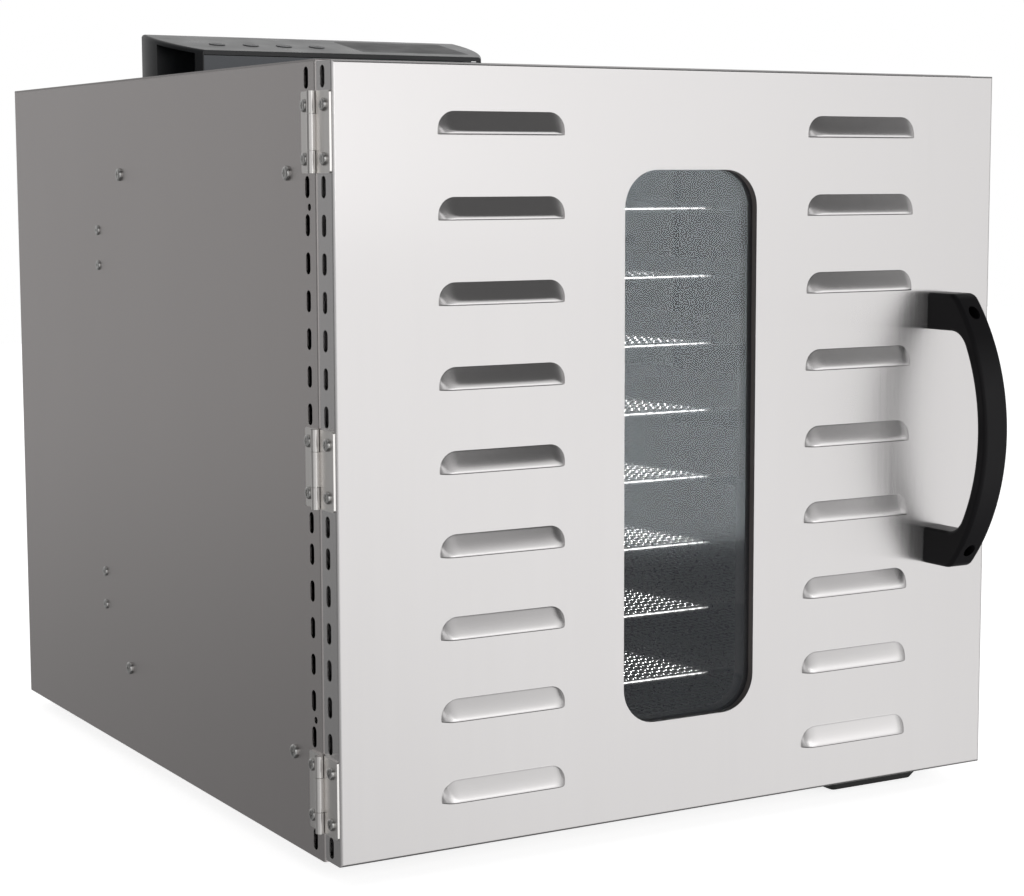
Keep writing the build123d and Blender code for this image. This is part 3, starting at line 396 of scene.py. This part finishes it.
def louvre_depth(x, z):
    """How far the louvre stands out: a long slope from its top, steep round ends and a lip below."""
    def bend(r):
        return sqrt(r * r + LOUVRE_LIP * LOUVRE_LIP)

    from_top = LOUVRE_H - past_corner(abs(x), LOUVRE_HALF_W - LOUVRE_CORNER) - z
    from_side = LOUVRE_HALF_W - past_corner(z, LOUVRE_H - LOUVRE_CORNER) - abs(x)
    if min(from_top, from_side) < OUTLINE_MARGIN:
        return 0.0
    slope = (bend(1.0) - bend(max(0.0, 1.0 - from_top / LOUVRE_H))) / (bend(1.0) - bend(0.0))
    end = from_side / LOUVRE_END
    both = (slope ** -LOUVRE_SOFT + end ** -LOUVRE_SOFT) ** (-1.0 / LOUVRE_SOFT)
    rim = min(1.0, min(from_top, from_side) / LOUVRE_RIM)
    rolled = LOUVRE_ROLL_BACK * max(0.0, 1.0 - z / LOUVRE_ROLL) ** 2
    return max(0.0, LOUVRE_OUT * both * sqrt(2.0 * rim - rim * rim) - rolled)


def louvre_grid():
    """Columns of (x, z, depth) over one louvre, each from its open edge up to its outline."""
    straight = LOUVRE_HALF_W - LOUVRE_CORNER
    quarter = LOUVRE_COLUMNS // 3
    ends = [straight + LOUVRE_CORNER * sin(pi / 2 * i / quarter) for i in range(quarter + 1)]
    middle = [-straight + 2 * straight * i / quarter for i in range(1, quarter)]
    grid = []
    for x in [-e for e in reversed(ends)] + middle + ends:
        top = LOUVRE_H - past_corner(abs(x), straight)
        heights = [top * 0.5 * (1 - cos(pi * j / LOUVRE_UP)) for j in range(LOUVRE_UP + 1)]
        grid.append([(x, z, louvre_depth(x, z)) for z in heights])
    return grid


def add_louvre(build, grid, centre):
    """Adds one louvre to the bmesh: outer face, inner face a sheet's thickness behind, open edge below."""
    sheets = []
    for behind in (0.0, SKIN_T):
        sheets.append([
            [build.verts.new((centre.x + x, centre.y - depth + behind, centre.z + z)) for x, z, depth in column]
            for column in grid
        ])
    outer, inner = sheets
    for i in range(len(grid) - 1):
        for j in range(LOUVRE_UP):
            a, b = outer[i], outer[i + 1]
            build.faces.new((a[j], b[j], b[j + 1], a[j + 1]))
            a, b = inner[i], inner[i + 1]
            build.faces.new((a[j + 1], b[j + 1], b[j], a[j]))
        build.faces.new((outer[i + 1][0], outer[i][0], inner[i][0], inner[i + 1][0]))


def make_door_skin():
    """The door's outer sheet: the frame's flat sheet and returns, with softly pressed louvres."""
    low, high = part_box("door_skin")
    face_y = high.y - DOOR_DEPTH
    build = bmesh.new()
    build.from_mesh(nodes["door_skin"].data)
    raised = [f for f in build.faces if min(v.co.y for v in f.verts) < face_y - RAISED]
    bmesh.ops.delete(build, geom=raised, context="FACES")
    grid = louvre_grid()
    for side in (-1, 1):
        for row in range(LOUVRE_ROWS):
            z = low.z + LOUVRE_FIRST_UP + LOUVRE_PITCH * row
            add_louvre(build, grid, Vector((side * LOUVRE_X, face_y - LOUVRE_PROUD, z)))
    bmesh.ops.dissolve_degenerate(build, edges=build.edges, dist=MERGE_DISTANCE)
    mesh = bpy.data.meshes.new("pressed_door_skin")
    build.to_mesh(mesh)
    build.free()
    mesh.shade_smooth()
    mesh.set_sharp_from_angle(angle=SOFT_EDGE)
    mesh.materials.clear()
    mesh.materials.append(FINISHES["door_steel"])
    piece = bpy.data.objects.new("pressed_door_skin", mesh)
    scene.collection.objects.link(piece)
    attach(piece, "door")
    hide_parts("door_skin")


# ---------------------------------------------------------------- trays
# The frame wire around a tray, and the braces under its wire cloth.
WIRE_R = 1.6 * MM
TRAY_CORNER_R = 7.0 * MM
CORNER_STEPS = 6
BRACE_R = 1.4 * MM
BRACES = 2
WIRE_SOFT_EDGE = radians(100.0)

# The wire cloth: wavy strands along X in rows along Y, and straight cross wires along Y.
CLOTH_UP = WIRE_R * 0.55
ROW_Y = 9.0 * MM
WAVE_X = 5.2 * MM
WAVE_STEPS = 4
STRAND_R = 0.5 * MM
STRAND_SWING = 1.5 * MM
STRAND_LIFT = 0.4 * MM
STRAND_SECTION = ((0, 1), (1, 0), (0, -1), (-1, 0))
CROSS_R = 0.35 * MM
CROSS_SIDES = 4


def tray_outline(x, y0, y1):
    """The rounded rectangle of the frame wire, anticlockwise from above."""
    points = []
    centres = ((x, y1, 0), (-x, y1, 1), (-x, y0, 2), (x, y0, 3))
    for cx, cy, quarter in centres:
        px = cx - TRAY_CORNER_R * (1 if cx > 0 else -1)
        py = cy - TRAY_CORNER_R if cy == y1 else cy + TRAY_CORNER_R
        for step in range(CORNER_STEPS + 1):
            turn = (quarter + step / CORNER_STEPS) * pi / 2
            points.append(Vector((px + TRAY_CORNER_R * cos(turn), py + TRAY_CORNER_R * sin(turn), 0.0)))
    return points


def strand(vertices, faces, x0, x1, y, phase):
    """Adds one wavy strand of the cloth, which runs along X and rises and falls as it sways."""
    waves = round((x1 - x0) / WAVE_X)
    steps = waves * WAVE_STEPS
    sides = len(STRAND_SECTION)
    first = len(vertices)
    last = first + steps * sides
    for i in range(steps + 1):
        turn = 2 * pi * (i / WAVE_STEPS + phase / 2)
        sway, rise = STRAND_SWING * sin(turn), STRAND_LIFT * cos(turn)
        centre = Vector((x0 + (x1 - x0) * i / steps, y + sway, CLOTH_UP + rise))
        for across, up in STRAND_SECTION:
            vertices.append(centre + Vector((0.0, across, up)) * STRAND_R)
    for ring in range(first, last, sides):
        for k in range(sides):
            n = (k + 1) % sides
            faces.append((ring + k, ring + n, ring + sides + n, ring + sides + k))
    faces.append(tuple(first + k for k in reversed(range(sides))))
    faces.append(tuple(last + k for k in range(sides)))


def tray_mesh(low, high):
    """Frame wire, braces and wavy wire cloth of one tray."""
    vertices, faces = [], []
    x = high.x - WIRE_R
    y0, y1 = low.y + WIRE_R, high.y - WIRE_R
    tube(vertices, faces, tray_outline(x, y0, y1), WIRE_R, closed=True)
    for i in range(BRACES):
        bx = -x + 2 * x * (i + 1) / (BRACES + 1)
        ends = [Vector((bx, y, BRACE_R - WIRE_R)) for y in (y0, y1)]
        tube(vertices, faces, ends, BRACE_R, closed=False)
    rows = round((y1 - y0) / ROW_Y)
    for row in range(rows):
        strand(vertices, faces, -x, x, y0 + (y1 - y0) * (row + 0.5) / rows, row % 2)
    crossings = round(2 * x / WAVE_X)
    for i in range(crossings + 1):
        cx = -x + 2 * x * i / crossings
        ends = [Vector((cx, y, CLOTH_UP)) for y in (y0, y1)]
        tube(vertices, faces, ends, CROSS_R, closed=False, sides=CROSS_SIDES)
    mesh = bpy.data.meshes.new("tray")
    mesh.from_pydata(vertices, [], faces)
    mesh.update()
    mesh.shade_smooth()
    mesh.set_sharp_from_angle(angle=WIRE_SOFT_EDGE)
    mesh.materials.append(FINISHES["tray_wire"])
    return mesh


def make_trays():
    """All the trays, which share one mesh."""
    mesh = tray_mesh(*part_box("tray_01"))
    trays = []
    for name in sorted(nodes):
        if name.startswith("tray_") and name[5:].isdigit():
            low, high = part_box(name)
            piece = bpy.data.objects.new(f"wire_{name}", mesh)
            scene.collection.objects.link(piece)
            piece.location.z = (low.z + high.z) / 2
            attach(piece, name)
            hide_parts(name)
            trays.append(piece)
    return trays


# ---------------------------------------------------------------- key marks
KEYS = 4
# The housing's top rises this much, in millimetres, over its depth.
HOUSING_RISE = 15.0
HOUSING_DEPTH = 76.5
KEY_TILT = atan2(HOUSING_RISE, HOUSING_DEPTH)
MARK_R = 4.4 * MM
SIGN_R = MARK_R * 0.45
MARK_LINE = 0.35 * MM
MARK_LIFT = 0.04 * MM
MARK_STEPS = 40
# The gap at the top of the power sign's ring in degrees, and lengths as multiples of the sign's radius.
POWER_GAP = 70.0
POWER_BAR = 1.2
HOUR_HAND = 0.6
MINUTE_HAND = 0.7


def stroke(strips, x0, y0, x1, y1):
    """Adds one straight printed line as a flat strip."""
    along = Vector((x1 - x0, y1 - y0, 0.0))
    across = Vector((-along.y, along.x, 0.0)).normalized() * MARK_LINE / 2
    a, b = Vector((x0, y0, 0.0)), Vector((x1, y1, 0.0))
    strips.append([a - across, b - across, b + across, a + across])


def arc(strips, radius, start, end):
    """Adds a printed arc between two angles in degrees."""
    steps = max(2, round(MARK_STEPS * abs(end - start) / 360))
    for i in range(steps):
        corners = []
        for turn, r in ((i, -1), (i, 1), (i + 1, 1), (i + 1, -1)):
            angle = radians(start + (end - start) * turn / steps)
            reach = radius + r * MARK_LINE / 2
            corners.append(Vector((reach * cos(angle), reach * sin(angle), 0.0)))
        strips.append(corners)


def key_symbol(number):
    """The strips of one key's symbol: a ring around a power sign, a plus, a minus or a clock."""
    strips = []
    arc(strips, MARK_R, 0.0, 360.0)
    if number == 1:
        arc(strips, SIGN_R, 90.0 + POWER_GAP / 2, 450.0 - POWER_GAP / 2)
        stroke(strips, 0.0, 0.0, 0.0, SIGN_R * POWER_BAR)
    elif number == 2:
        stroke(strips, -SIGN_R, 0.0, SIGN_R, 0.0)
        stroke(strips, 0.0, -SIGN_R, 0.0, SIGN_R)
    elif number == 3:
        stroke(strips, -SIGN_R, 0.0, SIGN_R, 0.0)
    else:
        arc(strips, SIGN_R, 0.0, 360.0)
        stroke(strips, 0.0, 0.0, 0.0, SIGN_R * MINUTE_HAND)
        stroke(strips, 0.0, 0.0, SIGN_R * HOUR_HAND, 0.0)
    return strips


def make_key_marks():
    """A printed symbol on the top of each key, which rides on the key."""
    ink = moulded("grey_print", (0.5, 0.51, 0.52), 0.6)
    right = Vector((1.0, 0.0, 0.0))
    up = Vector((0.0, -sin(KEY_TILT), cos(KEY_TILT)))
    back = Vector((0.0, cos(KEY_TILT), sin(KEY_TILT)))
    for number in range(1, KEYS + 1):
        name = f"key_{number}"
        low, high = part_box(name)
        middle = (low + high) / 2
        top = max(up.dot(nodes[name].matrix_world @ v.co) for v in nodes[name].data.vertices)
        centre = middle + up * (top - up.dot(middle) + MARK_LIFT)
        vertices, faces = [], []
        for strip in key_symbol(number):
            first = len(vertices)
            vertices.extend(centre + right * p.x + back * p.y for p in strip)
            faces.append(tuple(range(first, first + 4)))
        mark = mesh_object(f"key_mark_{number}", vertices, faces, ink)
        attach(mark, name)


# ---------------------------------------------------------------- floor and studio
FLOOR_HALF = 4.0
FLOOR_GREY = 0.86
FLOOR_ROUGHNESS = 0.7
FLOOR_GLOW = 0.8

# Soft lobes of the studio: (azimuth, elevation, full within, gone beyond, brightness added).
STUDIO_BASE = 0.60
STUDIO_LOBES = (
    (24.0, 0.0, 10.0, 55.0, 1.02),
    (54.0, 2.0, 6.0, 20.0, -0.5),
    (8.0, -18.0, 4.0, 18.0, -0.5),
    (201.0, 6.0, 18.0, 70.0, -0.20),
    (206.0, -19.0, 3.0, 15.0, -0.16),
    (160.0, 20.0, 10.0, 60.0, 0.45),
    (-62.0, 12.0, 8.0, 24.0, 0.5),
    (-105.0, 5.0, 14.0, 42.0, -0.3),
)
# Level bands: (the elevations that each runs between, brightness multiple below it, multiple above it).
STUDIO_BANDS = (
    # The dark table top below, and a little less light under the horizon.
    ((-52.0, -30.0), 0.25, 1.0),
    ((-20.0, -6.0), 0.88, 1.0),
    # The softbox is brightest in its middle and fades a little towards its upper edge.
    ((7.0, 14.0), 1.0, 1.2),
    ((21.0, 29.0), 1.0, 0.62),
)
# The front softbox ends above in a level edge parallel to the door: its height over its distance.
SOFTBOX_TOP = 0.774
SOFTBOX_EDGE = 0.010
SOFTBOX_FRONT = (-0.45, 0.0)
ABOVE_LEVEL = 0.13
OVERHEAD_BAND = (66.0, 76.0)
OVERHEAD_LEVEL = 0.5


def make_floor():
    """A pale ground under the object, which its metal doesn't mirror."""
    corners = [(FLOOR_HALF * x, FLOOR_HALF * y, 0) for x, y in ((-1, -1), (1, -1), (1, 1), (-1, 1))]
    material, _, _ = new_material(
        "pale_floor",
        Base_Color=(FLOOR_GREY, FLOOR_GREY, FLOOR_GREY, 1.0),
        Roughness=FLOOR_ROUGHNESS,
        Emission_Color=(*WHITE, 1.0),
        Emission_Strength=FLOOR_GLOW,
    )
    floor = mesh_object("floor", corners, [(0, 1, 2, 3)], material)
    floor.visible_glossy = False


def sines(band):
    """The heights on the unit sphere of a band's two elevations."""
    return tuple(sin(radians(elevation)) for elevation in band)


def studio_brightness(tree):
    """How bright the studio is in each direction: lobes and bands, then the softbox's edge and the overhead."""
    direction = add(tree, "ShaderNodeTexCoord").outputs["Generated"]
    split = add(tree, "ShaderNodeSeparateXYZ")
    tree.links.new(direction, split.inputs[0])
    height = split.outputs["Z"]
    brightness = STUDIO_BASE
    for azimuth, elevation, inner, outer, level in STUDIO_LOBES:
        nearness = dot(tree, direction, heading(azimuth, elevation))
        gone, full = cos(radians(outer)), cos(radians(inner))
        lobe = ranged(tree, nearness, gone, full, 0.0, level, smooth=True)
        brightness = math_node(tree, "ADD", lobe, brightness)
    for band, below, above in STUDIO_BANDS:
        multiple = ranged(tree, height, *sines(band), below, above, smooth=True)
        brightness = math_node(tree, "MULTIPLY", brightness, multiple)
    over_edge = dot(tree, direction, Vector((0.0, SOFTBOX_TOP, 1.0)).normalized())
    past_edge = ranged(tree, over_edge, -SOFTBOX_EDGE, SOFTBOX_EDGE, 0.0, 1.0, smooth=True)
    in_front = ranged(tree, split.outputs["Y"], *SOFTBOX_FRONT, 1.0, 0.0, smooth=True)
    brightness = turned_to(tree, math_node(tree, "MULTIPLY", past_edge, in_front), brightness, ABOVE_LEVEL)
    overhead = ranged(tree, height, *sines(OVERHEAD_BAND), 0.0, 1.0, smooth=True)
    return turned_to(tree, overhead, brightness, OVERHEAD_LEVEL)


def make_world():
    """The studio lights and mirrors in the object; the camera itself sees plain white."""
    world = bpy.data.worlds.new("studio")
    scene.world = world
    world.use_nodes = True
    tree = world.node_tree
    tree.nodes.clear()
    studio = add(tree, "ShaderNodeBackground")
    tree.links.new(studio_brightness(tree), studio.inputs["Strength"])
    backdrop = add(tree, "ShaderNodeBackground")
    backdrop.inputs["Color"].default_value = (*WHITE, 1.0)
    path = add(tree, "ShaderNodeLightPath")
    chosen = add(tree, "ShaderNodeMixShader")
    tree.links.new(path.outputs["Is Camera Ray"], chosen.inputs[0])
    tree.links.new(studio.outputs[0], chosen.inputs[1])
    tree.links.new(backdrop.outputs[0], chosen.inputs[2])
    output = add(tree, "ShaderNodeOutputWorld")
    tree.links.new(chosen.outputs[0], output.inputs["Surface"])


# ---------------------------------------------------------------- lights
# Places and sizes are in metres, powers in watts.
KEY_PLACE = (0.05, -2.7, 0.75)
KEY_TARGET = (0.05, -0.2, 0.25)
KEY_SIZE = (0.5, 0.9)
KEY_POWER = 2.0
# The tray light's direction and distance are from the middle of the window.
TRAY_LIGHT_FROM = heading(11.0, 8.0)
TRAY_LIGHT_DISTANCE = 2.6
TRAY_LIGHT_SIZE = (0.3, 1.2)
TRAY_LIGHT_POWER = 1200.0
PANE_CARD_PLACE = (0.45, -0.80, 0.265)
PANE_CARD_TARGET = (0.45, 0.0, 0.265)
PANE_CARD_SIZE = (1.0, 0.4)
PANE_CARD_POWER = 10.2
PANE_CARD_COLOR = (0.86, 0.95, 1.0)


def area_light(name, place, target, size, power, color=WHITE):
    """A rectangular light of this width and height, turned to its target and hidden from the camera."""
    data = bpy.data.lights.new(name, "AREA")
    data.shape = "RECTANGLE"
    data.size, data.size_y = size
    data.energy = power
    data.color = color
    light = bpy.data.objects.new(name, data)
    scene.collection.objects.link(light)
    light.location = place
    light.rotation_euler = (Vector(target) - Vector(place)).to_track_quat("-Z", "Y").to_euler()
    light.visible_camera = False
    return light


def shine_only_on(light, pieces):
    """Keeps a light off everything but these objects."""
    receivers = bpy.data.collections.new(f"lit_by_{light.name}")
    for piece in pieces:
        receivers.objects.link(piece)
    light.light_linking.receiver_collection = receivers


def make_lights(trays):
    """A weak key, a light on the trays that swings away with the door, and a card mirrored in the pane."""
    area_light("key", KEY_PLACE, KEY_TARGET, KEY_SIZE, KEY_POWER)
    low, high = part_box("window_glass")
    window = (low + high) / 2
    place = window + TRAY_LIGHT_FROM * TRAY_LIGHT_DISTANCE
    through_window = area_light("through_window", place, window, TRAY_LIGHT_SIZE, TRAY_LIGHT_POWER)
    through_window.data.cycles.max_bounces = 0
    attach(through_window, "door")
    shine_only_on(through_window, trays)
    pane_card = area_light(
        "pane_card", PANE_CARD_PLACE, PANE_CARD_TARGET, PANE_CARD_SIZE, PANE_CARD_POWER, PANE_CARD_COLOR
    )
    shine_only_on(pane_card, [nodes["window_glass"]])


# ---------------------------------------------------------------- build
scene.view_settings.view_transform = "Standard"
make_camera()
finish_nodes()
make_door_skin()
trays = make_trays()
make_key_marks()
make_floor()
make_world()
make_lights(trays)
